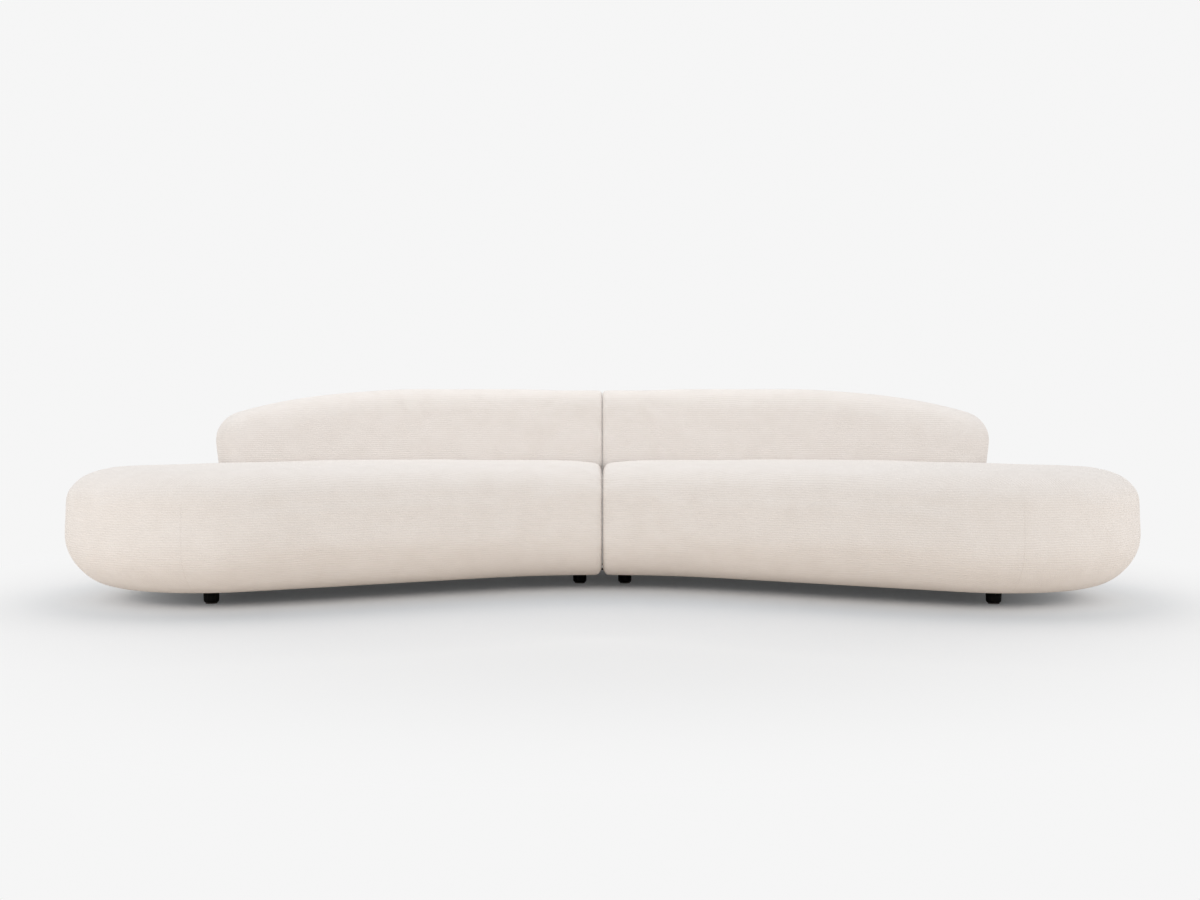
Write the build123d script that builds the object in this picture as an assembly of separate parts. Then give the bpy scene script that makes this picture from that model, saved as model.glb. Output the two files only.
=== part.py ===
from build123d import *
import os
from math import asin, atan2, cos, degrees, hypot, radians, sin, sqrt

# A curved sofa in two mirrored upholstered sections that meet on the plane X = 0.
# Millimetres. +X is to the right as seen from the front, +Y to the rear, +Z up, floor at Z = 0.
# The right section is modelled and the left one is its mirror image, except for the joint hardware.

# Plan of the sofa
overall_width = 3530.0
centre_depth = 940.0
end_radius = 500.0
front_radius = 770.0
arm_angle = 26.5
section_gap = 6.0

# Seat body
ground_clearance = 45.0
seat_height = 434.0
crown_radius = 36000.0
crown_x = 776.0
crown_setback = 340.0
seat_top_radius = 115.0
seat_bottom_radius = 188.0
joint_edge_radius = 14.0
fabric = 3.0
cover_return = 45.0

# Seat frame
board = 18.0
deck_height = 300.0
side_foam_depth = 38.0
joint_foam_depth = 12.0
band = 4.0
deck_rim = 165.0
deck_ledge = 85.0
bottom_rim = 190.0
bottom_plate_margin = 2.0
former_top = 105.0
former_foot = 52.0
former_clearance = 0.3
front_formers = 4
end_formers = 4
rear_formers = 5
rail_depth = 90.0
rail_clearance = 5.0
rail_angles = (11.0, 24.0)
access_bar = 120.0
access_start = 200.0
access_corner = 35.0
webbing = 1.5
strap_width = 50.0
strap_pitch = 95.0
strap_margin = 60.0
dust_cover = 1.2
dust_margin = 15.0

# Back
back_height = 708.0
back_thickness = 210.0
back_lean = 25.0
back_crown = 10.0
back_reach = 1407.0
back_fall_length = 800.0
back_fall_radius = 2890.0
back_corner_radius = 115.0
back_edge_radius = 65.0
back_clearance = 1.0
back_front_foam = 57.0
back_rear_foam = 12.0
back_top_foam = 42.0
back_board = 4.0
top_rail = 12.0
bolt_setback = 90.0

# Feet and fastenings
foot_diameter = 50.0
foot_toe_diameter = 47.0
foot_toe_radius = 8.0
glide_diameter = 36.0
glide = 3.0
inner_foot_x = 81.0
inner_foot_setback = 305.0
outer_foot_offset = 21.0
outer_foot_setback = 262.0
rear_foot_setback = 285.0
rear_middle_angle = 17.0
thread_diameter = 8.0
stud_in_foot = 28.0
thread_spare = 8.0
nut_flange_diameter = 22.0
nut_flange = 1.5
nut_barrel_diameter = 10.0
nut_barrel = 12.0
bolt_head_width = 13.0
bolt_head = 5.3
hole_clearance = 0.1
bolt_hole_clearance = 0.5
foot_hole_clearance = 1.0

# Joint hardware under the two sections
connector_setbacks = (400.0, 560.0)
bracket_start = 5.0
bracket_length = 120.0
bracket_width = 70.0
bracket_plate = 2.0
tongue_width = 36.0
tongue = 3.5
tongue_reach = 85.0
tongue_nose_radius = 12.0
socket_wall = 2.0
tongue_clearance = 0.5
screw_diameter = 4.0
screw_head_diameter = 8.0
screw_head = 2.2
screw_length = 20.0
screw_spread = 54.0
screw_starts = (62.0, 110.0)

# Derived plan: a concave front arc, a straight arm, a round end and one long rear arc, all tangent
arm = radians(arm_angle)
end_x = overall_width / 2 - end_radius
arm_length = (end_x - (front_radius + end_radius) * sin(arm)) / cos(arm)
end_setback = end_radius * cos(arm) - front_radius * (1 - cos(arm)) - arm_length * sin(arm)
depth_behind_end = centre_depth - end_setback
rear_radius = (end_x**2 + depth_behind_end**2 - end_radius**2) / (2 * (depth_behind_end - end_radius))
rear_turn = atan2(end_x, rear_radius - depth_behind_end)
front_y = (end_radius - end_setback - centre_depth) / 2
end_y = front_y + end_setback
rear_y = front_y + centre_depth - rear_radius
end_turn = radians(180) + arm

# Derived levels and insets from the outside of the upholstery
overrun = 2 * seat_bottom_radius
joint_x = section_gap / 2
frame_x = joint_x + fabric + joint_foam_depth
band_inset = fabric + side_foam_depth
frame_inset = band_inset + band
plate_bottom = ground_clearance + fabric
plate_top = plate_bottom + board
deck_bottom = deck_height - board
plate_inset = seat_bottom_radius + bottom_plate_margin
strap_top = deck_height + webbing
dust_bottom = ground_clearance - dust_cover

# Derived back: a ring round the rear arc's centre, ending square to the arc
back_angle = asin(back_reach / (rear_radius - back_thickness / 2))
fall_centre = back_height - back_fall_radius
corner_height = fall_centre + sqrt(
    (back_fall_radius - back_corner_radius) ** 2 - (back_fall_length - back_corner_radius) ** 2
)
rail_top = deck_height + board
rear_axis = Axis((0, rear_y, 0), (0, 0, -1))


def front_point(inset, angle):
    radius = front_radius + inset
    return radius * sin(angle), front_y - front_radius + radius * cos(angle)


def end_point(inset, angle):
    radius = end_radius - inset
    return end_x + radius * sin(angle), end_y + radius * cos(angle)


def rear_point(inset, angle):
    radius = rear_radius - inset
    return radius * sin(angle), rear_y + radius * cos(angle)


def outline(inset):
    """The plan at a distance inside the upholstery, run past the joint plane."""
    front_start = -asin(overrun / (front_radius + inset))
    rear_end = -asin(overrun / (rear_radius - inset))
    p1, p2, p3 = (front_point(inset, t) for t in (front_start, (front_start + arm) / 2, arm))
    q1, q2, q3 = (end_point(inset, t) for t in (end_turn, (end_turn + rear_turn) / 2, rear_turn))
    s2, s3 = (rear_point(inset, t) for t in ((rear_turn + rear_end) / 2, rear_end))
    front = ThreePointArc(p1, p2, p3)
    end = ThreePointArc(q1, q2, q3)
    rear = ThreePointArc(q3, s2, s3)
    return Face(Wire([front, Line(p3, q1), end, rear, Line(s3, p1)]))


def slab(inset, bottom, top):
    return extrude(Pos(0, 0, bottom) * outline(inset), top - bottom)


def beyond(x):
    """All space on the +X side of a plane."""
    return Pos(x, 0, 0) * Box(
        overall_width, 2 * overall_width, 2 * overall_width, align=(Align.MIN, Align.CENTER, Align.CENTER)
    )


def between(bottom, top):
    """All space between two levels."""
    return Pos(0, 0, bottom) * Box(
        2 * overall_width, 2 * overall_width, top - bottom, align=(Align.CENTER, Align.CENTER, Align.MIN)
    )


def edges_where(shape, test):
    return [e for e in shape.edges() if all(test(e.position_at(t)) for t in (0.0, 0.5, 1.0))]


def seat_form(inset):
    """The upholstered seat body: crowned top, large roundings, tight edges round the joint face."""
    bottom = ground_clearance + inset
    crown_place = Pos(crown_x, front_y + crown_setback, seat_height - crown_radius) * Rot(0, 90, 0)
    form = (slab(inset, bottom, seat_height + inset) & crown_place * Sphere(crown_radius - inset)).solid()
    for radius, level in ((seat_top_radius, True), (seat_bottom_radius, False)):
        rim = edges_where(form, lambda p: (p.Z > seat_height / 2 if level else abs(p.Z - bottom) < 0.01))
        form = form.fillet(radius - inset, [e for e in rim if e.center().X > 1 - overrun])
    form = (form & beyond(joint_x + inset)).solid()
    loop = edges_where(form, lambda p: abs(p.X - joint_x - inset) < 0.01)
    return form.fillet(joint_edge_radius - inset, loop)


def frame_form(inset, bottom, top):
    """The room inside the side foam, with the same lower rounding."""
    form = slab(inset, bottom, top).solid()
    rim = edges_where(form, lambda p: abs(p.Z - bottom) < 0.01)
    form = form.fillet(seat_bottom_radius - inset, [e for e in rim if e.center().X > 1 - overrun])
    return (form & beyond(frame_x)).solid()


def back_ring(front_inset, rear_inset):
    """The back's leaning, slightly crowned section swept round the rear arc."""
    low = deck_height - board
    high = back_height + board
    front_low = rear_radius - back_thickness + front_inset
    front_high = front_low + back_lean
    rear = rear_radius - rear_inset
    bulge = ((front_low + front_high) / 2 - back_crown, (low + high) / 2)
    face = Plane(origin=(0, rear_y, 0), x_dir=(0, 1, 0), z_dir=(1, 0, 0)) * Face(
        Wire(
            [
                ThreePointArc((front_low, low), bulge, (front_high, high)),
                Line((front_high, high), (rear, high)),
                Line((rear, high), (rear, low)),
                Line((rear, low), (front_low, low)),
            ]
        )
    )
    start = asin(overrun / rear_radius)
    ring = revolve(face, rear_axis, degrees(back_angle + 2 * start))
    return ring.rotate(rear_axis, -degrees(start))


def back_outline(inset, bottom):
    """The space under the back's top line and inside its end, seen along the radius at the end."""
    ux = (back_corner_radius - back_fall_length) / (back_fall_radius - back_corner_radius)
    uz = (corner_height - fall_centre) / (back_fall_radius - back_corner_radius)
    corner = back_corner_radius - inset
    fall = back_fall_radius - inset
    half = hypot(ux - 1, uz)
    mid = hypot(ux, uz + 1)
    p1 = (inset, bottom)
    p2 = (inset, corner_height)
    p3 = (back_corner_radius + corner * (ux - 1) / half, corner_height + corner * uz / half)
    p4 = (back_fall_length + fall * ux, fall_centre + fall * uz)
    p5 = (back_fall_length + fall * ux / mid, fall_centre + fall * (uz + 1) / mid)
    p6 = (back_fall_length, back_height - inset)
    p7 = (rear_radius, back_height - inset)
    p8 = (rear_radius, bottom)
    edges = [
        Line(p1, p2), ThreePointArc(p2, p3, p4), ThreePointArc(p4, p5, p6),
        Line(p6, p7), Line(p7, p8), Line(p8, p1),
    ]
    x, y = rear_point(back_thickness / 2, back_angle)
    view = Plane(
        origin=(x, y, 0),
        x_dir=(-cos(back_angle), sin(back_angle), 0),
        z_dir=(sin(back_angle), cos(back_angle), 0),
    )
    return extrude(view * Face(Wire(edges)), rear_radius / 2, both=True)


def radius_of(p):
    return hypot(p.X, p.Y - rear_y)


def angle_of(p):
    return atan2(p.X, p.Y - rear_y)


def back_form(inset, bottom):
    """The upholstered back: rounded front and rear edges along its top and down its end."""
    form = (back_ring(inset, inset) & back_outline(inset, bottom)).solid()
    middle = rear_radius - back_thickness / 2
    for side in (-1, 1):
        rim = edges_where(form, lambda p: side * (radius_of(p) - middle) > back_lean)
        rim = [e for e in rim if e.center().Z > bottom + 1 and angle_of(e.center()) > -0.5 * back_angle]
        rim = [e for e in rim if angle_of(e.center()) > 0 or e.length > back_height]
        form = form.fillet(back_edge_radius - inset, rim)
    form = (form & beyond(joint_x + inset)).solid()
    loop = edges_where(form, lambda p: abs(p.X - joint_x - inset) < 0.01)
    return form.fillet(joint_edge_radius - inset, [e for e in loop if e.center().Z > bottom + 1])


def back_room(front_inset, rear_inset, top_inset, bottom):
    """Room for frame pieces inside the back's foam."""
    return (back_ring(front_inset, rear_inset) & back_outline(top_inset, bottom) & beyond(frame_x)).solid()


def radial_plate(angle, thickness, low, high, bottom, top):
    """An upright plate on a radius of the rear arc, between two distances from its centre."""
    plate = Pos(0, low, bottom) * Box(
        thickness, high - low, top - bottom, align=(Align.CENTER, Align.MIN, Align.MIN)
    )
    return Pos(0, rear_y, 0) * Rot(0, 0, -degrees(angle)) * plate


def upright(x, y, radius, bottom, top):
    return Pos(x, y, bottom) * Cylinder(radius, top - bottom, align=(Align.CENTER, Align.CENTER, Align.MIN))


def stations():
    """Where the formers stand: points on the outline with the inward direction."""
    places = []
    for i in range(front_formers):
        run = (i + 0.5) / front_formers * (front_radius * arm + arm_length)
        angle = min(run / front_radius, arm)
        x, y = front_point(0, angle)
        rest = run - front_radius * angle
        places.append((x + rest * cos(arm), y - rest * sin(arm), sin(angle), cos(angle)))
    for i in range(end_formers):
        angle = end_turn + (rear_turn - end_turn) * (i + 0.5) / end_formers
        places.append((*end_point(0, angle), -sin(angle), -cos(angle)))
    for angle in rear_stations():
        places.append((*rear_point(0, angle), -sin(angle), -cos(angle)))
    return places


def rear_stations():
    return [back_angle * (i + 0.5) / rear_formers for i in range(rear_formers)]


def bolt_stations():
    return [back_angle * (i + 1) / rear_formers for i in range(rear_formers - 1)]


def former(x, y, nx, ny):
    """A plywood former whose outer edge carries the lower rounding."""
    outer = frame_inset + former_clearance
    radius = seat_bottom_radius - outer
    bend = plate_top + radius
    dip = radius * sqrt(0.5)
    inner = frame_inset + former_top
    edges = [
        Line((outer, deck_bottom), (outer, bend)),
        ThreePointArc((outer, bend), (seat_bottom_radius - dip, bend - dip), (seat_bottom_radius, plate_top)),
        Line((seat_bottom_radius, plate_top), (seat_bottom_radius + former_foot, plate_top)),
        Line((seat_bottom_radius + former_foot, plate_top), (inner, deck_bottom - rail_depth)),
        Line((inner, deck_bottom - rail_depth), (inner, deck_bottom)),
        Line((inner, deck_bottom), (outer, deck_bottom)),
    ]
    view = Plane(origin=(x, y, 0), x_dir=(nx, ny, 0), z_dir=(ny, -nx, 0))
    return extrude(view * Face(Wire(edges)), board / 2, both=True)


def feet_places():
    inner_angle = asin(inner_foot_x / (rear_radius - rear_foot_setback))
    return {
        "front_inner": (inner_foot_x, front_y + inner_foot_setback),
        "front_outer": (end_x - outer_foot_offset, end_y - end_radius + outer_foot_setback),
        "rear_inner": rear_point(rear_foot_setback, inner_angle),
        "rear_middle": rear_point(rear_foot_setback, radians(rear_middle_angle)),
        "rear_outer": rear_point(rear_foot_setback, rear_turn),
    }


def foot(x, y):
    """A turned foot, a little narrower at its toe, bored for its stud."""
    toe = foot_toe_diameter / 2
    side = Polyline((0, glide), (toe, glide), (foot_diameter / 2, plate_bottom), (0, plate_bottom), close=True)
    face = make_face(side)
    corner = face.vertices().group_by(Axis.Y)[0].sort_by(Axis.X)[-1]
    body = Pos(x, y, 0) * revolve(Plane.XZ * fillet(corner, foot_toe_radius), Axis.Z)
    bore = thread_diameter / 2 + hole_clearance
    return body - upright(x, y, bore, plate_bottom - stud_in_foot, plate_bottom)


def t_nut(x, y, seat):
    """A threaded insert: a barrel in the board below its flange."""
    flange = upright(x, y, nut_flange_diameter / 2, seat, seat + nut_flange)
    barrel = upright(x, y, nut_barrel_diameter / 2, seat - nut_barrel, seat)
    bore = upright(x, y, thread_diameter / 2 + hole_clearance, seat - nut_barrel, seat + nut_flange)
    return flange + barrel - bore


def back_bolt(x, y):
    """A hexagon bolt from below the deck into the back's bottom rail."""
    head = extrude(
        Pos(x, y, deck_bottom - bolt_head) * RegularPolygon(bolt_head_width / 2, 6, major_radius=False), bolt_head
    )
    top = rail_top + nut_flange + thread_spare
    return head + upright(x, y, thread_diameter / 2, deck_bottom, top)


def screw_places(setback):
    y = front_y + setback
    return [(x, y + side * screw_spread / 2) for x in screw_starts for side in (-1, 1)]


def screw(x, y, seat):
    """A pan-head screw up into the bottom plate, seated under a bracket."""
    head = upright(x, y, screw_head_diameter / 2, seat - screw_head, seat)
    return head + upright(x, y, screw_diameter / 2, seat, seat + screw_length)


def bracket_box(x, length, width, y, bottom, top):
    return Pos(x, y, bottom) * Box(length, width, top - bottom, align=(Align.MIN, Align.CENTER, Align.MIN))


def bracket_plate_with_holes(setback, bottom):
    y = front_y + setback
    body = bracket_box(joint_x + bracket_start, bracket_length, bracket_width, y, bottom, dust_bottom)
    for x, hole_y in screw_places(setback):
        body -= upright(x, hole_y, screw_diameter / 2 + hole_clearance, bottom, dust_bottom)
    return body


def tongue_bracket(setback):
    """A flat tongue on its base plate, reaching across the joint."""
    y = front_y + setback
    plate_low = socket_roof - tongue_clearance
    bar = bracket_box(
        -tongue_reach, joint_x + bracket_start + bracket_length + tongue_reach, tongue_width, y,
        plate_low - tongue, plate_low,
    )
    nose = edges_where(bar, lambda p: abs(p.X + tongue_reach) < 0.01)
    bar = fillet([e for e in nose if e.length < 2 * tongue], tongue_nose_radius)
    return bracket_plate_with_holes(setback, plate_low) + bar


def socket_bracket(setback):
    """A channel that the tongue slides into, drawn on the right for mirroring."""
    y = front_y + setback
    start = joint_x + bracket_start
    depth = tongue_reach + 2 * tongue_clearance
    room_low = socket_roof - tongue - 2 * tongue_clearance
    room_width = tongue_width + 2 * tongue_clearance
    shell = bracket_box(
        start, depth - start + socket_wall, room_width + 2 * socket_wall, y, room_low - socket_wall, socket_roof
    )
    room = bracket_box(start, depth - start, room_width, y, room_low, socket_roof)
    return bracket_plate_with_holes(setback, socket_roof) + (shell - room)


socket_roof = dust_bottom - bracket_plate
notch = back_form(-back_clearance, deck_height)
foot_places = feet_places()
bolts = [rear_point(bolt_setback, angle) for angle in bolt_stations()]
all_screws = [place for setback in connector_setbacks for place in screw_places(setback)]
nodes = {}

# Upholstery of the seat
seat_outside = seat_form(0)
seat_inside = seat_form(fabric)
under_opening = slab(seat_bottom_radius + cover_return, ground_clearance, plate_bottom) & beyond(
    joint_x + fabric + cover_return
)
nodes["seat_cover"] = [seat_outside - seat_inside - under_opening - notch]
nodes["seat_foam"] = [(seat_inside & between(strap_top, back_height)) - notch]
bottom_block = slab(plate_inset, plate_bottom, plate_top) & beyond(frame_x)
side_room = frame_form(band_inset, plate_top - band, deck_height)
nodes["side_foam"] = [(seat_inside & between(plate_bottom, deck_height)) - side_room - bottom_block]

# Frame of the seat
access = slab(plate_inset + bottom_rim, plate_bottom, plate_top) & beyond(access_start)
for angle in rail_angles:
    access -= radial_plate(radians(angle), access_bar, 0, rear_radius, plate_bottom, plate_top)
for window in access.solids():
    bottom_block -= fillet(window.edges().filter_by(Axis.Z), access_corner)
for x, y in foot_places.values():
    bottom_block -= upright(x, y, nut_barrel_diameter / 2 + hole_clearance, plate_bottom, plate_top)
for x, y in all_screws:
    bottom_block -= upright(x, y, screw_diameter / 2 + hole_clearance, plate_bottom, plate_top)
nodes["bottom_plate"] = [bottom_block]

ledge_radius = rear_radius - back_thickness - back_clearance - deck_ledge
well = slab(frame_inset + deck_rim, deck_bottom, deck_height) & beyond(frame_x + deck_rim)
well &= upright(0, rear_y, ledge_radius, deck_bottom, deck_height)
deck = (slab(frame_inset, deck_bottom, deck_height) & beyond(frame_x)) - fillet(
    well.edges().filter_by(Axis.Z), access_corner
)
for x, y in bolts:
    deck -= upright(x, y, thread_diameter / 2 + bolt_hole_clearance, deck_bottom, deck_height)
nodes["top_plate"] = [deck]

nodes["formers"] = [former(*station) for station in stations()]
nodes["joint_panel"] = [frame_form(frame_inset, plate_top, deck_bottom) - beyond(frame_x + board)]
rail_room = slab(frame_inset + former_top + rail_clearance, deck_bottom - rail_depth, deck_bottom)
nodes["cross_rails"] = [
    radial_plate(radians(angle), board, 0, rear_radius, deck_bottom - rail_depth, deck_bottom) & rail_room
    for angle in rail_angles
]
band_bottom = plate_top + seat_bottom_radius - frame_inset
nodes["bent_band"] = [
    (slab(band_inset, band_bottom, deck_height) - slab(frame_inset, band_bottom, deck_height)) & beyond(frame_x)
]

strap_room = slab(frame_inset + strap_margin, deck_height, strap_top) & beyond(frame_x)
strap_end = rear_radius - back_thickness - back_clearance - strap_margin / 2
strap_count = int(back_angle * strap_end / strap_pitch)
nodes["webbing"] = [
    radial_plate((i + 0.8) * strap_pitch / strap_end, strap_width, 0, strap_end, deck_height, strap_top) & strap_room
    for i in range(strap_count)
]

lining = slab(seat_bottom_radius + dust_margin, dust_bottom, ground_clearance) & beyond(frame_x)
for x, y in foot_places.values():
    lining -= upright(x, y, foot_diameter / 2 + foot_hole_clearance, dust_bottom, ground_clearance)
for x, y in all_screws:
    lining -= upright(x, y, screw_diameter / 2 + hole_clearance, dust_bottom, ground_clearance)
nodes["dust_cover"] = [lining]

# Back
front_in = fabric + back_front_foam
rear_in = fabric + back_rear_foam
top_in = fabric + back_top_foam
nodes["back_cover"] = [back_form(0, deck_height) - back_form(fabric, deck_height - fabric)]
nodes["back_foam"] = [back_form(fabric, deck_height) - back_room(front_in, rear_in, top_in, deck_height)]
bottom_rail = back_room(front_in, rear_in, top_in, deck_height) & between(deck_height, rail_top)
for x, y in bolts:
    bottom_rail -= upright(x, y, nut_barrel_diameter / 2 + hole_clearance, deck_height, rail_top)
nodes["back_bottom_rail"] = [bottom_rail]
board_inset = rear_in + back_board
post_room = back_room(front_in, board_inset, top_in + top_rail, rail_top)
nodes["back_posts"] = [
    radial_plate(angle, board, 0, rear_radius, rail_top, back_height) & post_room for angle in rear_stations()
]
nodes["back_board"] = [
    back_room(front_in, rear_in, top_in, rail_top)
    - upright(0, rear_y, rear_radius - board_inset, rail_top, back_height)
]
rail_cut = back_ring(front_in - fabric, rear_in) & back_outline(top_in + top_rail, deck_height)
nodes["back_top_rail"] = [back_room(front_in, board_inset, top_in, rail_top) - rail_cut]
nodes["back_bolts"] = [back_bolt(x, y) for x, y in bolts]
nodes["back_nuts"] = [t_nut(x, y, rail_top) for x, y in bolts]

# Feet
for place, (x, y) in foot_places.items():
    nodes[f"foot_{place}"] = [foot(x, y)]
stud_top = plate_top + nut_flange + thread_spare
stud_bottom = plate_bottom - stud_in_foot
nodes["foot_studs"] = [
    upright(x, y, thread_diameter / 2, stud_bottom, stud_top) for x, y in foot_places.values()
]
nodes["foot_nuts"] = [t_nut(x, y, plate_top) for x, y in foot_places.values()]
nodes["foot_glides"] = [upright(x, y, glide_diameter / 2, 0, glide) for x, y in foot_places.values()]

# Joint hardware: sockets on the left section, tongues on the right one
hardware = {
    "left": {
        "connector_sockets": [socket_bracket(setback) for setback in connector_setbacks],
        "connector_screws": [screw(x, y, socket_roof) for x, y in all_screws],
    },
    "right": {
        "connector_tongues": [tongue_bracket(setback) for setback in connector_setbacks],
        "connector_screws": [screw(x, y, socket_roof - tongue_clearance) for x, y in all_screws],
    },
}

os.makedirs("parts", exist_ok=True)
for side, fittings in hardware.items():
    for name, shapes in {**nodes, **fittings}.items():
        solids = [solid for shape in shapes for solid in shape.solids()]
        if side == "left":
            solids = [mirror(solid, about=Plane.YZ) for solid in solids]
        export_step(Compound(children=solids), f"parts/{side}_{name}.step")
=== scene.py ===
# %% [markdown]
# # A curved sectional sofa
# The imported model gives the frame: plywood, feet, fittings and the plain solids of the soft parts.
# This lesson dresses it. The upholstery is modelled again as padded cloth, every piece gets a
# procedural finish, and a plain studio is set up at the photograph's viewing angle.

# %% Load the frame
from math import asin, atan2, cos, pi, radians, sin, sqrt

import bmesh
import bpy
import numpy as np
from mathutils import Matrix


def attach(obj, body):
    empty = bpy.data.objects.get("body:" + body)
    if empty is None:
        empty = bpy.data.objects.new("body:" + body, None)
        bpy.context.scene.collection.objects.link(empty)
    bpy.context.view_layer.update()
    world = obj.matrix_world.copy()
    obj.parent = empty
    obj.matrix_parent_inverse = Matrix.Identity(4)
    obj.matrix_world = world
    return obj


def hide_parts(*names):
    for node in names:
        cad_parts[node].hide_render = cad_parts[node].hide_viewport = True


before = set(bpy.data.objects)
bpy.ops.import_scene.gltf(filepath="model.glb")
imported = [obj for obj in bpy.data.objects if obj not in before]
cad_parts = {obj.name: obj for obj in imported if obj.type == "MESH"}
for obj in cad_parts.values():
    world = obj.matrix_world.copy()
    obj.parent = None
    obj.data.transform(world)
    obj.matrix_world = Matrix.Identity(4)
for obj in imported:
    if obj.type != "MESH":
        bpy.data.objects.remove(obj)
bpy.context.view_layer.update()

# %% [markdown]
# ## The plan
# Seen from above, each section is half of a long bean: a hollow front, a straight arm, a round end
# and one long rear curve. All four runs are tangent, so a few radii fix everything else. Lengths are
# in metres. Plan and heights are those of the solids. The three roundings are a little tighter and
# the joint is almost closed, because the soft covers in the photograph are fuller than the solids.

# %% Plan values
end_radius = 0.500
front_radius = 0.770
arm_angle = radians(26.5)
centre_depth = 0.940
half_width = 1.765
floor_gap = 0.045
seat_top = 0.434
deck = 0.300
joint_x = 0.0004
foot_rounding = 0.170
top_rounding = 0.100
edge_rounding = 0.006

end_x = half_width - end_radius
arm_length = (end_x - (front_radius + end_radius) * sin(arm_angle)) / cos(arm_angle)
end_back = end_radius * cos(arm_angle) - front_radius * (1 - cos(arm_angle))
end_back -= arm_length * sin(arm_angle)
behind = centre_depth - end_back
rear_radius = (end_x**2 + behind**2 - end_radius**2) / (2 * (behind - end_radius))
rear_turn = atan2(end_x, rear_radius - behind)
front_y = (end_radius - end_back - centre_depth) / 2
end_y = front_y + end_back
rear_y = front_y + centre_depth - rear_radius
print("rear radius", round(rear_radius, 4), "front edge at", round(front_y, 4))

# %% [markdown]
# ## Working by hand, in code
# The operators below are those of the Edit Mode menus. Each acts on what is selected, so a few
# helpers enter Edit Mode on one object, select edges by their place, and leave again.

# %% Helpers for selecting
near = 1e-4


def leave():
    """Goes back to Object Mode."""
    if bpy.context.object and bpy.context.object.mode != "OBJECT":
        bpy.ops.object.mode_set(mode="OBJECT")


def only(obj):
    """Leaves one object selected and active, in Object Mode."""
    leave()
    bpy.ops.object.select_all(action="DESELECT")
    obj.select_set(True)
    bpy.context.view_layer.objects.active = obj


def edit(obj):
    """Opens one object in Edit Mode."""
    only(obj)
    bpy.ops.object.mode_set(mode="EDIT")


def pick_all():
    """Selects everything in the mesh that is being edited."""
    bpy.ops.mesh.select_all(action="SELECT")


def pick_edges(obj, test):
    """Selects the edges that pass a test, and counts them."""
    bpy.ops.mesh.select_mode(type="EDGE")
    bpy.ops.mesh.select_all(action="DESELECT")
    work = bmesh.from_edit_mesh(obj.data)
    work.normal_update()
    found = [e for e in work.edges if test(e)]
    for e in found:
        e.select_set(True)
    bmesh.update_edit_mesh(obj.data)
    return len(found)


def apply_modifier(obj, kind, **settings):
    """Adds a modifier with its settings, and applies it."""
    only(obj)
    modifier = obj.modifiers.new(kind.title(), kind)
    for key, value in settings.items():
        setattr(modifier, key, value)
    bpy.ops.object.modifier_apply(modifier=modifier.name)


def even_net(obj, size):
    """Replaces all faces by an even net of quads of about this size."""
    apply_modifier(obj, "REMESH", mode="VOXEL", voxel_size=size, use_smooth_shade=True)


print("points count as the same place within", near, "m")

# %% [markdown]
# A shape starts as a single point. It is drawn out into an outline by spinning it round a centre or
# extruding it along a line. The outline is then filled and extruded into a slab, as a foam cutter
# lays a template on a block.

# %% Helpers for drawing
def single_point(name, point):
    """A new mesh of one vertex, ready in Edit Mode to be drawn out."""
    leave()
    bpy.ops.object.select_all(action="DESELECT")
    bpy.ops.mesh.primitive_plane_add(size=0.01, location=(0, 0, 0))
    obj = bpy.context.object
    obj.name = name
    bpy.ops.object.mode_set(mode="EDIT")
    bpy.ops.mesh.select_mode(type="VERT")
    pick_all()
    bpy.ops.mesh.merge(type="CENTER")
    bpy.ops.transform.translate(value=point)
    return obj


def draw_arc(centre, turn, steps, axis=(0, 0, 1)):
    """Draws the selection round an axis; a positive turn runs clockwise seen from the axis' tip."""
    bpy.ops.mesh.spin(
        steps=steps, angle=turn, center=centre, axis=axis, dupli=False, use_auto_merge=False
    )


def draw_line(way, steps=1):
    """Draws the selection along a straight way, in equal steps."""
    step = [v / steps for v in way]
    for _ in range(steps):
        bpy.ops.mesh.extrude_region_move(TRANSFORM_OT_translate={"value": step})


def fill_and_extrude(way):
    """Fills the drawn outline and extrudes it into a slab with its faces outward."""
    pick_all()
    bpy.ops.mesh.edge_face_add()
    draw_line(way)
    pick_all()
    bpy.ops.mesh.normals_make_consistent(inside=False)


def round_edges(width, segments):
    """Bevels the selected edges to a circular profile."""
    bpy.ops.mesh.bevel(
        offset=width,
        offset_type="OFFSET",
        segments=segments,
        profile=0.5,
        affect="EDGES",
        clamp_overlap=False,
    )


def cut_at_joint():
    """Cuts the mesh in Edit Mode on the joint plane and closes the cut."""
    bpy.ops.mesh.select_mode(type="VERT")
    pick_all()
    bpy.ops.mesh.bisect(
        plane_co=(joint_x, 0, 0), plane_no=(1, 0, 0), use_fill=True, clear_inner=True
    )


print("meshes are cut at x =", joint_x)

# %% [markdown]
# ## The seat body
# The seat is a thick bean of foam round a plywood frame. It could be sculpted from a box, but the
# photograph shows clean curves, so the outline is drawn as one chain: spin for the curves, extrude
# for the arm. It runs past the joint, so that the roundings there come out even, and is cut later.

# %% Draw the seat slab
overrun = 0.30
hollow_steps, arm_steps, end_steps, rear_steps = 18, 12, 30, 36
start = -asin(overrun / front_radius)
start_y = front_y - front_radius * (1 - cos(start))
seat = single_point("right_seat", (front_radius * sin(start), start_y, floor_gap))
draw_arc((0, front_y - front_radius, floor_gap), arm_angle - start, hollow_steps)
draw_line((arm_length * cos(arm_angle), -arm_length * sin(arm_angle), 0), arm_steps)
draw_arc((end_x, end_y, floor_gap), -(pi + arm_angle - rear_turn), end_steps)
draw_arc((0, rear_y, floor_gap), -(rear_turn + asin(overrun / rear_radius)), rear_steps)
fill_and_extrude((0, 0, seat_top - floor_gap))
print("outline steps:", hollow_steps + arm_steps + end_steps + rear_steps)

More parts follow.
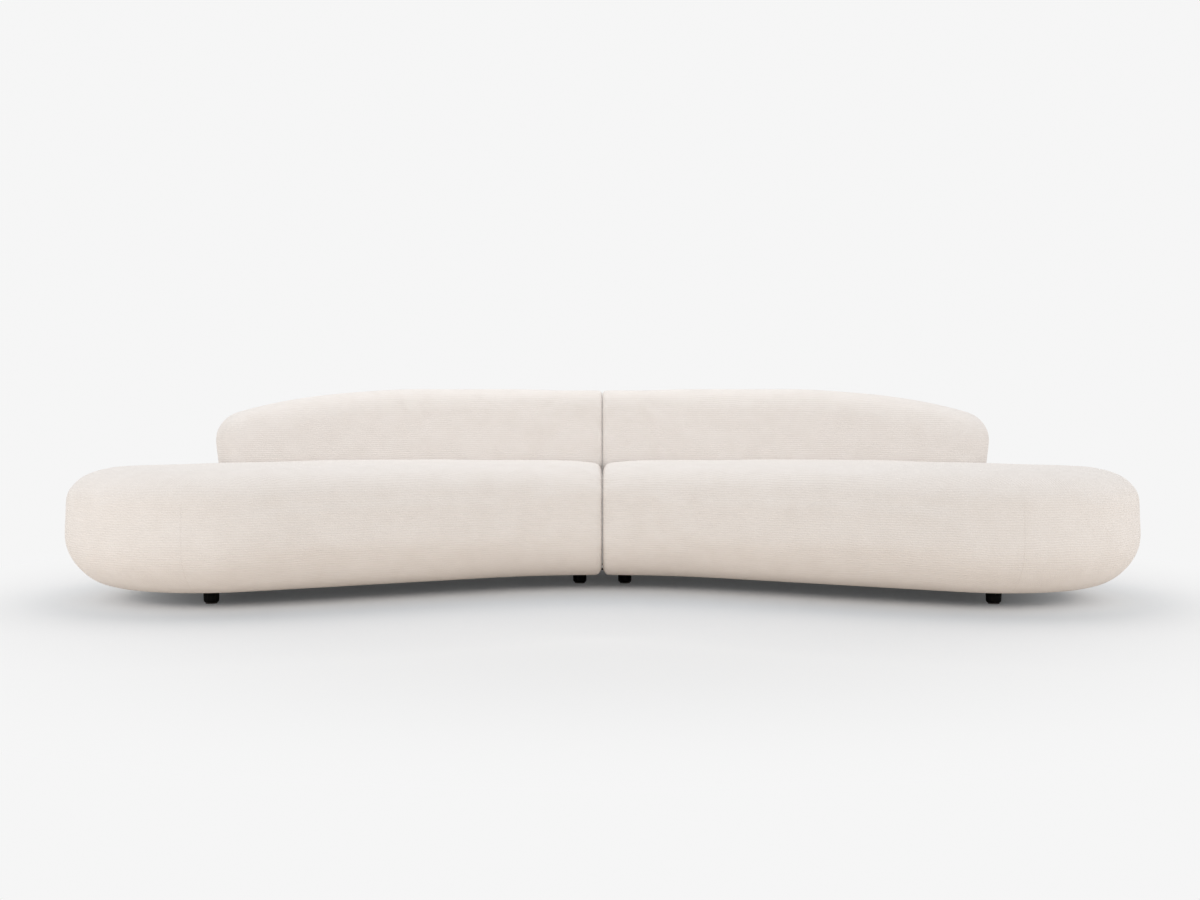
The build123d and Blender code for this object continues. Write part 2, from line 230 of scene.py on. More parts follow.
# %% [markdown]
# Two wide bevels turn the slab into a cushion: a generous one below, where the body curves away to
# the floor, and a smaller one on top. After the cut at the joint its new edges are only just broken,
# since two covers meet there face to face.

# %% Round the slab and cut it at the joint
foot_segments, top_segments, edge_segments = 10, 8, 3


def on_rim(level):
    """A test for the edges of one rim, without the one that closes the overrun."""
    def test(e):
        a, b = (v.co for v in e.verts)
        level_edge = abs(a.z - level) < near and abs(b.z - level) < near
        return level_edge and max(a.x, b.x) > near - overrun
    return test


def on_joint(e):
    """A test for the edges round the cut at the joint."""
    return all(abs(v.co.x - joint_x) < near for v in e.verts)


print("lower rim edges:", pick_edges(seat, on_rim(floor_gap)))
round_edges(foot_rounding, foot_segments)
print("upper rim edges:", pick_edges(seat, on_rim(seat_top)))
round_edges(top_rounding, top_segments)
cut_at_joint()
print("joint rim edges:", pick_edges(seat, on_joint))
round_edges(edge_rounding, edge_segments)
leave()

# %% [markdown]
# ## The back
# The back is a long bar that follows the rear curve, with a top line that falls towards the end and
# turns down round a corner. Rounding its edges on the curve would crowd the short steps there, so it
# is drawn flat first, as an upholsterer cuts the board: the outline of the front view, extruded by
# the thickness, with both rims bevelled. An even net then lets it bend without creases.

# %% Draw the back flat
back_top = 0.708
back_depth = 0.210
back_run = 1.62
back_rounding = 0.065
back_net = 0.0110
corner_radius = 0.115
fall_length = 0.800
fall_radius = 2.890
corner_steps, fall_steps, back_segments = 10, 20, 7

fall_low = back_top - fall_radius
corner_in = fall_length - corner_radius
corner_height = fall_low + sqrt((fall_radius - corner_radius) ** 2 - corner_in**2)
corner_turn = atan2(corner_height - fall_low, corner_in)

back = single_point("right_back", (back_run, 0, deck))
draw_line((-back_run, 0, 0))
draw_line((0, 0, corner_height - deck))
draw_arc((corner_radius, 0, corner_height), corner_turn, corner_steps, axis=(0, -1, 0))
draw_arc((fall_length, 0, fall_low), pi / 2 - corner_turn, fall_steps, axis=(0, -1, 0))
draw_line((back_run - fall_length, 0, 0))
fill_and_extrude((0, back_depth, 0))


def on_back_rim(e):
    """A test for the edges of both outlines, without the foot and the joint end."""
    a, b = (v.co for v in e.verts)
    in_outline = abs(a.y - b.y) < near
    return in_outline and max(a.z, b.z) > deck + near and min(a.x, b.x) < back_run - near


print("back edges to round:", pick_edges(back, on_back_rim))
round_edges(back_rounding, back_segments)
leave()
even_net(back, back_net)
print("flat bar:", len(back.data.polygons), "quads")

# %% [markdown]
# ## Bending with numbers
# Some shapes are easier to compute than to push: a bend, a lean, a swell. For those the points are
# read as one table, moved together and written back. A soft step from 0 to 1 fades each effect.

# %% Helpers for moving points
def vectors_of(obj, label):
    """One row of three numbers for each vertex: its place or its normal."""
    flat = np.empty(len(obj.data.vertices) * 3)
    obj.data.vertices.foreach_get(label, flat)
    return flat.reshape(-1, 3)


def points_of(obj):
    return vectors_of(obj, "co")


def normals_of(obj):
    return vectors_of(obj, "normal")


def set_points(obj, points):
    obj.data.vertices.foreach_set("co", np.ascontiguousarray(points).ravel())
    obj.data.update()


def ease(value, low, high):
    """A soft step from 0 at low to 1 at high."""
    share = np.clip((value - low) / (high - low), 0, 1)
    return share * share * (3 - 2 * share)


print("points to bend:", len(points_of(back)))

# %% [markdown]
# Laid round the curve, the bar's length runs from its end towards the joint and its depth towards the
# sitter. The front face leans back and swells a little on the way, and the foot of the end is tucked
# in, where the cover is pulled down behind the seat. Then the bar is cut at the joint.

# %% Lay the back round the rear curve
back_reach = 1.407
back_lean = 0.025
back_swell = 0.010
tuck, tuck_length = 0.012, 0.15
tuck_heights = (0.40, 0.54)
front_low = rear_radius - back_depth
back_angle = asin(back_reach / (rear_radius - back_depth / 2))


def back_face(z):
    """Distance of the back's front face from the rear curve's centre, at a height."""
    up = (z - deck) / (back_top - deck)
    return front_low + back_lean * up - 4 * back_swell * up * (1 - up)


run, depth, z = points_of(back).T
run = run + tuck * (1 - ease(z, *tuck_heights)) * (1 - ease(run, 0.0, tuck_length))
reach = rear_radius - depth + depth / back_depth * (back_face(z) - front_low)
turn = back_angle - np.arcsin(run / reach)
set_points(back, np.column_stack([reach * np.sin(turn), rear_y + reach * np.cos(turn), z]))
edit(back)
cut_at_joint()
leave()
even_net(back, back_net)
print("back:", len(back.data.polygons), "quads, end at", np.round(points_of(back).max(axis=0), 3))

# %% [markdown]
# ## The ledge for the back
# The back stands on a step at the rear of the seat and is bolted through it. A copy of the back, made
# 1.5 mm fatter, is cut out of the seat with a Boolean, so that both covers keep clear of each other.

# %% Cut the ledge
ledge_gap = 0.0015
only(back)
bpy.ops.object.duplicate()
cutter = bpy.context.object
edit(cutter)
pick_all()
bpy.ops.transform.shrink_fatten(value=ledge_gap)
leave()
apply_modifier(seat, "BOOLEAN", operation="DIFFERENCE", object=cutter, solver="EXACT")
only(cutter)
bpy.ops.object.delete()
print("seat after the cut:", len(seat.data.polygons), "faces")

# %% [markdown]
# ## From slab to padding
# The seat gets its even net now that the ledge is cut, and both pieces are smoothed a little. The
# net has small steps where the ledge's wall runs almost along its rows. Points close to the wall are
# put back on it, just in front of the back's face, and those under the back are kept below it.

# %% Even net and a straight ledge
seat_net = 0.0155
wall_gap = 0.0045
wall_span = (0.010, 0.016)
wall_foot = (deck + 0.01, deck + 0.03)
wall_end = (0.03, 0.06)
under_end = 0.02

even_net(seat, seat_net)
for soft in (seat, back):
    apply_modifier(soft, "SMOOTH", factor=0.5, iterations=3)

x, y, z = points_of(seat).T
reach = np.hypot(x, y - rear_y)
turn = np.arctan2(x, y - rear_y)
wall = back_face(z) - wall_gap
on_wall = 1 - ease(np.abs(reach - wall), *wall_span)
on_wall *= ease(z, *wall_foot) * ease(back_angle - turn, *wall_end)
reach += on_wall * (wall - reach)
x = reach * np.sin(turn)
y = rear_y + reach * np.cos(turn)
under_back = (reach > wall) & (z < wall_foot[1]) & (turn < back_angle - under_end)
z = np.where(under_back, np.minimum(z, deck - ledge_gap), z)
print("points drawn to the wall:", int((on_wall > 0).sum()), "under the back:", int(under_back.sum()))

# %% [markdown]
# Foam under a tight cover is never flat. The top is domed a little, its shoulder drops towards the
# joint, where two covers press on each other, and the side bulges by a few millimetres a little below
# half its height. The bulge follows the surface sideways and fades out towards the joint.

# %% Dome, shoulder and belly
dome_radius = 36.0
dome_x, dome_y = 0.776, front_y + 0.340
upper_part = (0.30, 0.40)
shoulder, shoulder_width = 0.012, 0.07
belly, belly_height, belly_spread = 0.005, 0.190, 0.075
belly_start = (joint_x + 0.02, joint_x + 0.40)

upper = ease(z, *upper_part)
z = z - upper * ((x - dome_x) ** 2 + (y - dome_y) ** 2) / (2 * dome_radius)
z = z - upper * shoulder * np.clip(1 - (x - joint_x) / shoulder_width, 0, 1) ** 2
side_x, side_y, _ = normals_of(seat).T
bulge = belly * np.exp(-(((z - belly_height) / belly_spread) ** 2)) * ease(x, *belly_start)
set_points(seat, np.column_stack([x + bulge * side_x, y + bulge * side_y, z]))
print("seat:", len(seat.data.polygons), "quads, back:", len(back.data.polygons), "quads")

# %% [markdown]
# ## Air in the cover
# Cloth with a little pressure inside pulls the cover tight between the places where it is stapled
# down: under the seat, at the joint, along the ledge and at the back's foot. A vertex group holds them.
# The pressure is stopped by a soft cap, so that no point moves further than the padding would.

# %% Where the covers are held
seat_underside = (0.05, 0.09)
seat_joint = (joint_x + 0.004, joint_x + 0.05)
ledge_rim = (front_low - 0.06, front_low - 0.012)
ledge_end = (1.45, 1.52)
back_foot = (deck + 0.02, deck + 0.10)
back_joint = (joint_x + 0.004, joint_x + 0.25)


def seat_held(points):
    """1 where the seat's cover is stapled down, 0 where it is free."""
    x, y, z = points.T
    below = 1 - ease(z, *seat_underside)
    joint = 1 - ease(x, *seat_joint)
    ledge = ease(np.hypot(x, y - rear_y), *ledge_rim) * (1 - ease(x, *ledge_end))
    return np.maximum.reduce([below, joint, ledge])


def back_held(points):
    """1 where the back's cover is stapled down, 0 where it is free."""
    low = 1 - ease(points[:, 2], *back_foot)
    joint = 1 - ease(points[:, 0], *back_joint)
    return np.maximum(low, joint)


print("free part of the seat:", round(float((1 - seat_held(points_of(seat))).mean()), 2))

# %% [markdown]
# The cloth run is short: twenty frames without gravity are enough for the pressure to settle.

# %% Puff up the covers
puff_frames = 20
least_weight = 0.01
cover_settings = {
    "quality": 4,
    "mass": 0.3,
    "tension_stiffness": 12,
    "compression_stiffness": 12,
    "bending_stiffness": 2,
    "vertex_group_mass": "held",
    "use_pressure": True,
}


def puff(obj, held, pressure, cap):
    """Swells a cover by a short cloth run and limits each point's move by the cap."""
    before = points_of(obj)
    held_group = obj.vertex_groups.new(name="held")
    for index, weight in enumerate(held):
        if weight > least_weight:
            held_group.add([index], float(weight), "REPLACE")
    only(obj)
    cloth = obj.modifiers.new("Cover", "CLOTH")
    for key, value in cover_settings.items():
        setattr(cloth.settings, key, value)
    cloth.settings.uniform_pressure_force = pressure
    cloth.settings.effector_weights.gravity = 0
    cloth.collision_settings.use_collision = False
    for step in range(1, puff_frames + 1):
        bpy.context.scene.frame_set(step)
    bpy.ops.object.modifier_apply(modifier=cloth.name)
    bpy.context.scene.frame_set(1)
    move = points_of(obj) - before
    length = np.linalg.norm(move, axis=1, keepdims=True)
    set_points(obj, before + move * cap * np.tanh(length / cap) / np.maximum(length, 1e-9))
    obj.vertex_groups.clear()
    print(obj.name, "moved by the cloth:", round(float(length.max()) * 1000, 1), "mm, then capped")


puff(seat, seat_held(points_of(seat)), pressure=0.6, cap=0.005)
puff(back, back_held(points_of(back)), pressure=0.4, cap=0.004)

# %% [markdown]
# Hand-stretched cloth is never dead flat. A broad, shallow unevenness of a millimetre or so catches
# the light as upholstery does. It is made of three slow waves whose lengths never keep step,
# and it fades out where the cover is held. One subdivision then smooths the net.

# %% Slight unevenness and a last subdivision
unevenness = 0.0009
seat_shift, back_shift = (0.0, 0.0, 0.0), (0.4, 0.2, 0.1)


def uneven(obj, held, shift):
    """Moves the free parts of a cover in and out by a few slow waves."""
    points = points_of(obj)
    x, y, z = (points + shift).T
    wave = np.sin(7.1 * x + 3.3 * z) * np.cos(5.7 * y - 4.1 * z)
    wave += 0.6 * np.sin(13.7 * x - 9.1 * y + 5 * z)
    wave += 0.4 * np.sin(21.3 * x + 17.9 * z) * np.cos(19.1 * y)
    move = unevenness * (1 - held(points)) * wave
    set_points(obj, points + move[:, None] * normals_of(obj))


uneven(seat, seat_held, seat_shift)
uneven(back, back_held, back_shift)
for soft in (seat, back):
    apply_modifier(soft, "SUBSURF", levels=1, render_levels=1)
    bpy.ops.object.shade_smooth()
    print(soft.name, "faces:", len(soft.data.polygons))

# %% [markdown]
# ## The other section
# The left section is sewn from the same patterns turned over. Its meshes are copies, mirrored about
# the joint plane, with the faces turned the right way out again. Each soft piece then takes the place
# of the plain cover and foam solids, and rides with its own section.

# %% Mirror to the left
def mirrored(obj, name):
    """A copy of a piece, turned over to the other side of the joint."""
    only(obj)
    bpy.ops.object.duplicate()
    copy = bpy.context.object
    copy.name = name
    edit(copy)
    pick_all()
    bpy.ops.transform.mirror(
        orient_type="GLOBAL", constraint_axis=(True, False, False), center_override=(0, 0, 0)
    )
    bpy.ops.mesh.normals_make_consistent(inside=False)
    leave()
    return copy


left_seat = mirrored(seat, "left_seat")
left_back = mirrored(back, "left_back")
soft_pieces = (seat, back, left_seat, left_back)
for side, side_seat, side_back in (("right", seat, back), ("left", left_seat, left_back)):
    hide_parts(side + "_seat_cover", side + "_seat_foam", side + "_side_foam")
    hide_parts(side + "_back_cover", side + "_back_foam")
    for soft in (side_seat, side_back):
        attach(soft, side + "_section")
print("soft pieces:", [soft.name for soft in soft_pieces])

# %% [markdown]
# ## Building with nodes
# A finish is a small machine of nodes. The helpers below add a node in one line, do sums, map one
# range to another and mix two values or colours. A node's settings are set before its sockets,
# because some settings change which sockets it has.

# %% Node helpers
def node(tree, kind, **values):
    """Adds a node; values name its settings, or its input sockets by name or, as in _0, by number."""
    made = tree.nodes.new(kind)
    for key, value in values.items():
        if hasattr(made, key):
            setattr(made, key, value)
    for key, value in values.items():
        if hasattr(made, key):
            continue
        by_number = key[1:].isdigit()
        socket = made.inputs[int(key[1:]) if by_number else key.replace("_", " ")]
        if isinstance(value, bpy.types.NodeSocket):
            tree.links.new(value, socket)
        else:
            socket.default_value = value
    return made


def calc(tree, operation, a, b=0.0):
    return node(tree, "ShaderNodeMath", operation=operation, _0=a, _1=b).outputs[0]


def weighted(tree, a, b, shares):
    """The sum of two values, each with its share."""
    first = calc(tree, "MULTIPLY", a, shares[0])
    return calc(tree, "ADD", first, calc(tree, "MULTIPLY", b, shares[1]))


def spread(tree, value, low, high, to=(0.0, 1.0), eased=False):
    """Maps low to high onto another range, with soft ends if asked."""
    kind = "SMOOTHSTEP" if eased else "LINEAR"
    made = node(tree, "ShaderNodeMapRange", interpolation_type=kind, Value=value)
    for label, number in zip(("From Min", "From Max", "To Min", "To Max"), (low, high, *to)):
        made.inputs[label].default_value = number
    return made.outputs[0]


def mix_values(tree, share, a, b):
    return node(tree, "ShaderNodeMix", data_type="FLOAT", _0=share, _2=a, _3=b).outputs[0]


def mix_colours(tree, share, a, b, way="MIX"):
    made = node(tree, "ShaderNodeMix", data_type="RGBA", blend_type=way, _0=share, _6=a, _7=b)
    return made.outputs[2]


def noise(tree, vector, scale, **values):
    return node(tree, "ShaderNodeTexNoise", Vector=vector, Scale=scale, **values).outputs[0]


def new_group(name, inputs, outputs):
    """A node group with its input and output nodes."""
    tree = bpy.data.node_groups.new(name, "ShaderNodeTree")
    for label, kind, value in inputs:
        socket = tree.interface.new_socket(label, in_out="INPUT", socket_type="NodeSocket" + kind)
        if value is not None:
            socket.default_value = value
    for label, kind in outputs:
        tree.interface.new_socket(label, in_out="OUTPUT", socket_type="NodeSocket" + kind)
    return tree, tree.nodes.new("NodeGroupInput"), tree.nodes.new("NodeGroupOutput")


print("node groups so far:", len(bpy.data.node_groups))

# %% [markdown]
# ## Fibres, shared by every cloth
# Chenille, webbing, felt and lining are all made of short fibres: a fine noise for the yarn and a
# coarser one for the uneven nap. The height follows the yarn more, the tint follows the nap more.
# Built once as a node group, it serves all four.

# %% The fibre group
height_shares, tint_shares = (0.75, 0.25), (0.4, 0.6)
fibres, given, result = new_group(
    "fibres",
    [("Vector", "Vector", None), ("Fibre Scale", "Float", 900.0), ("Nap Scale", "Float", 40.0)],
    [("Height", "Float"), ("Tint", "Float")],
)
yarn = noise(fibres, given.outputs["Vector"], given.outputs["Fibre Scale"], Detail=3.0, Roughness=0.7)
nap = noise(fibres, given.outputs["Vector"], given.outputs["Nap Scale"], Detail=4.0, Roughness=0.6)
fibres.links.new(weighted(fibres, yarn, nap, height_shares), result.inputs["Height"])
fibres.links.new(weighted(fibres, yarn, nap, tint_shares), result.inputs["Tint"])
print("group:", fibres.name)

# %% [markdown]
# ## Ribs of the chenille
# The cover is woven in fine ribs that lie level round the sofa. On upright faces a rib is a line of
# constant height; on top it runs parallel to the rear curve. The two are blended by how far the
# surface faces up, and a slow wobble keeps the lines from looking ruled.

# %% The rib group
wobble_scale, wobble_depth = 9.0, 0.012
flat_from, flat_to = 0.45, 0.85
tint_power = 1.5
ribs, given, result = new_group(
    "chenille_ribs",
    [("Vector", "Vector", None), ("Facing Up", "Float", 0.0), ("Pitch", "Float", 0.007)],
    [("Height", "Float"), ("Tint", "Float")],
)
place = node(ribs, "ShaderNodeSeparateXYZ", Vector=given.outputs["Vector"]).outputs
plan = node(ribs, "ShaderNodeCombineXYZ", X=place["X"], Y=place["Y"]).outputs[0]
centre = (0, rear_y, 0)
apart = node(ribs, "ShaderNodeVectorMath", operation="DISTANCE", _0=plan, _1=centre)
wobble = noise(ribs, given.outputs["Vector"], wobble_scale, Detail=3.0)
drift = calc(ribs, "MULTIPLY", calc(ribs, "SUBTRACT", wobble, 0.5), wobble_depth)
waves = []
for along in (place["Z"], apart.outputs["Value"]):
    turns = calc(ribs, "DIVIDE", calc(ribs, "ADD", along, drift), given.outputs["Pitch"])
    waves.append(calc(ribs, "SINE", calc(ribs, "MULTIPLY", turns, 2 * pi)))
upward = calc(ribs, "ABSOLUTE", given.outputs["Facing Up"])
wave = mix_values(ribs, spread(ribs, upward, flat_from, flat_to, eased=True), *waves)
height = calc(ribs, "ADD", calc(ribs, "MULTIPLY", wave, 0.5), 0.5)
ribs.links.new(height, result.inputs["Height"])
ribs.links.new(calc(ribs, "POWER", height, tint_power), result.inputs["Tint"])
print("group:", ribs.name)

# %% [markdown]
# ## Starting a material
# Every material begins as a Principled shader with one colour and one roughness, and measures its
# patterns from the object itself, so that they move with it.

# %% Material helpers
def material(name, colour, roughness):
    """A new material with its node tree, its shader and the object's own coordinates."""
    made = bpy.data.materials.new(name)
    made.use_nodes = True
    tree = made.node_tree
    shader = tree.nodes["Principled BSDF"]
    shader.inputs["Base Color"].default_value = (*colour, 1)
    shader.inputs["Roughness"].default_value = roughness
    made.diffuse_color = (*colour, 1)
    coords = tree.nodes.new("ShaderNodeTexCoord").outputs["Object"]
    return made, tree, shader, coords


def grey(level):
    return (level, level, level)


def use(tree, used, **values):
    """Places a node group in a material."""
    return node(tree, "ShaderNodeGroup", node_tree=used, **values).outputs


def colours(tree, value, *stops):
    """A colour ramp from (place, colour) stops."""
    ramp = tree.nodes.new("ShaderNodeValToRGB")
    while len(ramp.color_ramp.elements) < len(stops):
        ramp.color_ramp.elements.new(0.5)
    for element, (at, colour) in zip(ramp.color_ramp.elements, stops):
        element.position = at
        element.color = (*colour, 1)
    tree.links.new(value, ramp.inputs[0])
    return ramp.outputs[0]


def bump(tree, shader, height, distance):
    """Lets a height tilt the surface's normal."""
    made = node(tree, "ShaderNodeBump", Height=height, Distance=distance, Strength=1.0)
    tree.links.new(made.outputs[0], shader.inputs["Normal"])


print("materials so far:", len(bpy.data.materials))

# %% [markdown]
# ## The upholstery
# Off-white chenille: matt, with a soft sheen at grazing angles from its fibres. The ribs and fibres
# feed the colour and one bump. A seam runs down the front of each end. In the photograph it is only
# just seen, so it is a faint darker line with a groove, from the distance to its plane.

# %% Upholstery material
cloth_dark = (0.790, 0.735, 0.690)
cloth_mid = (0.862, 0.813, 0.775)
cloth_light = (0.900, 0.858, 0.828)
rib_pitch = 0.0075
yarn_scale, nap_scale = 420.0, 14.0
shade_shares = (0.18, 0.82)
relief_shares = (0.6, 0.6)
relief_depth = 0.0010
matt_range = (0.86, 1.0)
seam_x, seam_half_width = 1.253, 0.0035
seam_front, seam_below = (-0.45, -0.50), (0.36, 0.30)
seam_colour = (0.55, 0.50, 0.46, 1)
seam_dark, seam_groove = 0.08, 0.5

chenille, tree, shader, coords = material("chenille", cloth_mid, roughness=0.95)
shader.inputs["Sheen Weight"].default_value = 0.25
shader.inputs["Sheen Roughness"].default_value = 0.5
shader.inputs["Specular IOR Level"].default_value = 0.2
facing = tree.nodes.new("ShaderNodeNewGeometry").outputs["Normal"]
upward = node(tree, "ShaderNodeSeparateXYZ", Vector=facing).outputs["Z"]
rib = use(tree, ribs, Vector=coords, Facing_Up=upward, Pitch=rib_pitch)
fuzz = use(tree, fibres, Vector=coords, Fibre_Scale=yarn_scale, Nap_Scale=nap_scale)

spot = node(tree, "ShaderNodeSeparateXYZ", Vector=coords).outputs
seam_gap = calc(tree, "SUBTRACT", calc(tree, "ABSOLUTE", spot["X"]), seam_x)
line = spread(tree, calc(tree, "ABSOLUTE", seam_gap), seam_half_width, 0.0, eased=True)
on_front = spread(tree, spot["Y"], *seam_front)
upright = spread(tree, spot["Z"], *seam_below)
seam = calc(tree, "MULTIPLY", line, calc(tree, "MULTIPLY", on_front, upright))

shade = weighted(tree, rib["Tint"], fuzz["Tint"], shade_shares)
woven = colours(tree, shade, (0.15, cloth_dark), (0.50, cloth_mid), (0.85, cloth_light))
sewn = mix_colours(tree, calc(tree, "MULTIPLY", seam, seam_dark), woven, seam_colour, "MULTIPLY")
tree.links.new(sewn, shader.inputs["Base Color"])
matt = spread(tree, fuzz["Tint"], 0.3, 0.7, to=matt_range)
tree.links.new(matt, shader.inputs["Roughness"])
relief = weighted(tree, rib["Height"], fuzz["Height"], relief_shares)
groove = calc(tree, "MULTIPLY", seam, seam_groove)
bump(tree, shader, calc(tree, "SUBTRACT", relief, groove), relief_depth)
for soft in soft_pieces:
    soft.data.materials.clear()
    soft.data.materials.append(chenille)
print("upholstery on", len(soft_pieces), "pieces")

# %% [markdown]
# ## Frame, straps and lining
# Inside and below are birch plywood, elastic webbing, felt glides and a thin black lining. Plywood
# shows long grain, here a stretched noise, and thin glue lines on its edge, here level bands bent a
# little. The other three differ only in colour and in how fine and deep their fibres are.

# %% Plywood, webbing, lining and felt
wood_dark = (0.46, 0.30, 0.16)
wood_mid = (0.68, 0.51, 0.33)
wood_light = (0.80, 0.65, 0.46)
wood_shares = (0.75, 0.25)
wood_relief = 0.0004
wood_rough = (0.50, 0.72)
grain_stretch, grain_scale = (3.0, 3.0, 26.0), 6.0
ply_scale = 70.0
nap_ratio = 12

plywood, tree, shader, coords = material("plywood", (0.66, 0.50, 0.33), roughness=0.6)
stretched = node(tree, "ShaderNodeMapping", Vector=coords, Scale=grain_stretch).outputs[0]
grain = noise(tree, stretched, grain_scale, Detail=6.0, Distortion=1.2)
plies = node(
    tree,
    "ShaderNodeTexWave",
    Vector=coords,
    bands_direction="Z",
    Scale=ply_scale,
    Distortion=0.6,
    Detail=2.0,
).outputs["Fac"]
wood = weighted(tree, grain, plies, wood_shares)
stained = colours(tree, wood, (0.30, wood_dark), (0.55, wood_mid), (0.80, wood_light))
tree.links.new(stained, shader.inputs["Base Color"])
tree.links.new(spread(tree, grain, 0.0, 1.0, to=wood_rough), shader.inputs["Roughness"])
bump(tree, shader, wood, wood_relief)


def plain_cloth(name, dark, light, fibre, depth):
    """A cloth of one yarn, from its two tones, the fineness of its fibres and their depth."""
    made, tree, shader, coords = material(name, light, roughness=0.9)
    fuzz = use(tree, fibres, Vector=coords, Fibre_Scale=fibre, Nap_Scale=fibre / nap_ratio)
    tones = colours(tree, fuzz["Tint"], (0.25, dark), (0.75, light))
    tree.links.new(tones, shader.inputs["Base Color"])
    bump(tree, shader, fuzz["Height"], depth)
    return made


strap_dark, strap_light = (0.10, 0.095, 0.09), (0.22, 0.21, 0.20)
felt_dark, felt_light = (0.06, 0.055, 0.05), (0.14, 0.13, 0.12)
webbing = plain_cloth("elastic_webbing", strap_dark, strap_light, fibre=700.0, depth=0.0006)
lining = plain_cloth("lining", grey(0.010), grey(0.035), fibre=1100.0, depth=0.0003)
felt = plain_cloth("felt", felt_dark, felt_light, fibre=600.0, depth=0.0008)
print("materials:", [m.name for m in (plywood, webbing, lining, felt)])

# %% [markdown]
# ## Metal fittings and feet
# Bolts and nuts are zinc plated, the connector brackets powder coated and the feet satin black. One
# group of fine scuffs varies colour and roughness on all three, so that none looks like plain plastic.

# %% Zinc, powder coat and feet
scuffs, given, result = new_group(
    "scuffs",
    [("Vector", "Vector", None), ("Scale", "Float", 60.0)],
    [("Height", "Float"), ("Wear", "Float")],
)
broad_scale = 9.0
grit = noise(scuffs, given.outputs["Vector"], given.outputs["Scale"], Detail=5.0, Roughness=0.65)
broad = noise(scuffs, given.outputs["Vector"], broad_scale, Detail=2.0)
worn = calc(scuffs, "MULTIPLY", grit, calc(scuffs, "ADD", broad, 0.5))
scuffs.links.new(grit, result.inputs["Height"])
scuffs.links.new(worn, result.inputs["Wear"])


def hard_finish(name, dark, light, rough, scale, depth, metallic=0.0):
    """A coated or plated finish, from its two tones, roughness range and the scuffs' fineness."""
    made, tree, shader, coords = material(name, light, rough[0])
    shader.inputs["Metallic"].default_value = metallic
    worn = use(tree, scuffs, Vector=coords, Scale=scale)
    tones = colours(tree, worn["Wear"], (0.25, dark), (0.75, light))
    tree.links.new(tones, shader.inputs["Base Color"])
    matt = spread(tree, worn["Wear"], 0.2, 0.8, to=rough)
    tree.links.new(matt, shader.inputs["Roughness"])
    bump(tree, shader, worn["Height"], depth)
    return made


zinc = hard_finish(
    "zinc_plating",
    dark=(0.50, 0.50, 0.47),
    light=(0.70, 0.70, 0.68),
    rough=(0.28, 0.46),
    scale=240.0,
    depth=0.0001,
    metallic=1.0,
)
powder = hard_finish(
    "powder_coat", grey(0.020), grey(0.045), rough=(0.45, 0.62), scale=900.0, depth=0.0002
)
satin = hard_finish(
    "satin_black", grey(0.002), grey(0.005), rough=(0.50, 0.66), scale=120.0, depth=0.0001
)
satin.node_tree.nodes["Principled BSDF"].inputs["Specular IOR Level"].default_value = 0.10
print("materials:", [m.name for m in (zinc, powder, satin)])

# %% [markdown]
# ## Giving out the finishes
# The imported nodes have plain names, so the end of a name tells what a node is made of. Whatever is
# left is a cover or a foam, and takes the chenille of the soft piece that stands for it.

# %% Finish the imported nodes
finishes = {
    plywood: ("plate", "formers", "joint_panel", "rails", "rail", "band", "posts", "board"),
    webbing: ("webbing",),
    lining: ("dust_cover",),
    zinc: ("bolts", "nuts", "studs", "screws"),
    powder: ("sockets", "tongues"),
    satin: ("_inner", "_middle", "_outer"),
    felt: ("glides",),
}
finished = 0
for name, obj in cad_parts.items():
    finish = next((m for m, endings in finishes.items() if name.endswith(endings)), chenille)
    if obj.type == "MESH":
        obj.data.materials.clear()
        obj.data.materials.append(finish)
        finished += 1
print("nodes finished:", finished)

# %% [markdown]
# ## The floor
# A wide sheet of pale paper lies under the sofa and fades to the same near-white as the surroundings.
# Its colour is a painted shadow: the paper darkens and cools where an occlusion node finds the sky
# covered, deepening the shadow under the sofa, dark and cool below. A faint glow that only the camera
# sees lifts the deepest part of this painted shadow, so that it is never quite black. What the paper
# throws back up onto the cloth is warmer, which only rays other than the camera's meet.

# %% Paper floor
floor_size = 60
shadow_reach = 0.9
# Tones of the painted shadow on the paper, from the most covered floor to the open floor.
deep, dim = (0.76, 0.80, 0.84), (0.65, 0.68, 0.71)
pale, bare = (0.785, 0.79, 0.80), grey(0.89)
warm_bounce = (0.89, 0.825, 0.757, 1)
# How strongly the painted glow lifts the painted shadow, over the range of covered sky.
lift_cover, lift_strength = (0.0, 0.6), (0.05, 0.0)
fade_start, fade_end = 1.2, 2.5
near_white = (0.92, 0.92, 0.92, 1)

bpy.ops.object.select_all(action="DESELECT")
bpy.ops.mesh.primitive_plane_add(size=floor_size, location=(0, 0, 0))
floor = bpy.context.object
floor.name = "floor"
paper, tree, shader, coords = material("paper_floor", grey(0.88), roughness=0.9)
path = tree.nodes.new("ShaderNodeLightPath").outputs
cover = node(tree, "ShaderNodeAmbientOcclusion", Distance=shadow_reach, samples=16).outputs["AO"]
# Painted shadow: the paper's colour darkens and cools where the sky is covered.
painted_shadow = colours(tree, cover, (0.30, deep), (0.70, dim), (0.88, pale), (1.00, bare))
tone = mix_colours(tree, path["Is Camera Ray"], warm_bounce, painted_shadow)
tree.links.new(tone, shader.inputs["Base Color"])
# Painted light: a faint glow, seen only by the camera, lifts the painted shadow where it is deepest.
painted_shadow_lift = calc(tree, "MULTIPLY", spread(tree, cover, *lift_cover, to=lift_strength), path["Is Camera Ray"])
shader.inputs["Emission Color"].default_value = (1, 1, 1, 1)
tree.links.new(painted_shadow_lift, shader.inputs["Emission Strength"])

